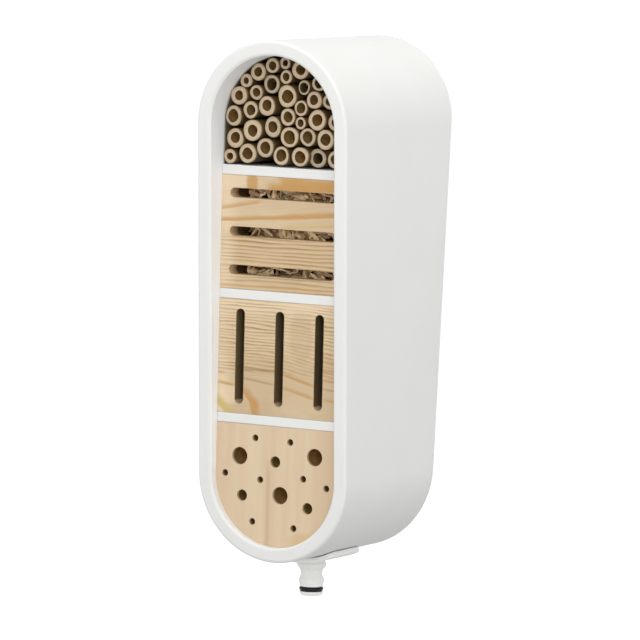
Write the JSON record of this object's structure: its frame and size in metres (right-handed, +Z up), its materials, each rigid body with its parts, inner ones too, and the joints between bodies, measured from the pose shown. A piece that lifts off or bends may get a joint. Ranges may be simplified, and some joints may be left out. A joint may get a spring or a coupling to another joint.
{
  "type": "insect hotel",
  "caption": "Tall white insect hotel with rounded ends: canes, slotted pine boards over hollow rooms, a drilled wood block, and a plug below for a pole.",
  "frame": {"origin": "centre of the plug's flat end face, the lowest point of the object, where a pole coupling takes it", "axes": "+Z up along the plug's axis; the open front faces -Y; +X to the right seen from the front"},
  "size_m": [0.12, 0.1555, 0.393],
  "materials": {
    "case_plastic": "satin white moulded plastic",
    "bracket_plastic": "satin off-white moulded plastic",
    "pine_board": "planed pine, unfinished",
    "block_wood": "sanded softwood, unfinished",
    "cane": "sawn cane ends, unfinished",
    "wood_chips": "rough split chips, weathered",
    "ring_rubber": "smooth black rubber",
    "screw_steel": "zinc-plated steel"
  },
  "bodies": {
    "root": {"case": "case_plastic", "rear_cover": "case_plastic", "shelf_upper": "case_plastic", "shelf_middle": "case_plastic", "shelf_lower": "case_plastic", "board_lying_slots": "pine_board", "board_upright_slots": "pine_board", "drilled_block": "block_wood", "wood_chips": "wood_chips", "cane_01": "cane", "cane_02": "cane", "cane_03": "cane", "cane_04": "cane", "cane_05": "cane", "cane_06": "cane", "cane_07": "cane", "cane_08": "cane", "cane_09": "cane", "cane_10": "cane", "cane_11": "cane", "cane_12": "cane", "cane_13": "cane", "cane_14": "cane", "cane_15": "cane", "cane_16": "cane", "cane_17": "cane", "cane_18": "cane", "cane_19": "cane", "cane_20": "cane", "cane_21": "cane", "cane_22": "cane", "cane_23": "cane", "cane_24": "cane", "cane_25": "cane", "cane_26": "cane", "cane_27": "cane", "cane_28": "cane", "cane_29": "cane", "cane_30": "cane", "cane_31": "cane", "cane_32": "cane", "cane_33": "cane", "cane_34": "cane", "cane_35": "cane", "cane_36": "cane", "pole_bracket": "bracket_plastic", "sealing_ring": "ring_rubber", "cover_screw_upper_left": "screw_steel", "cover_screw_upper_right": "screw_steel", "cover_screw_lower_left": "screw_steel", "cover_screw_lower_right": "screw_steel", "bracket_screw_left": "screw_steel", "bracket_screw_right": "screw_steel"}
  },
  "joints": []
}
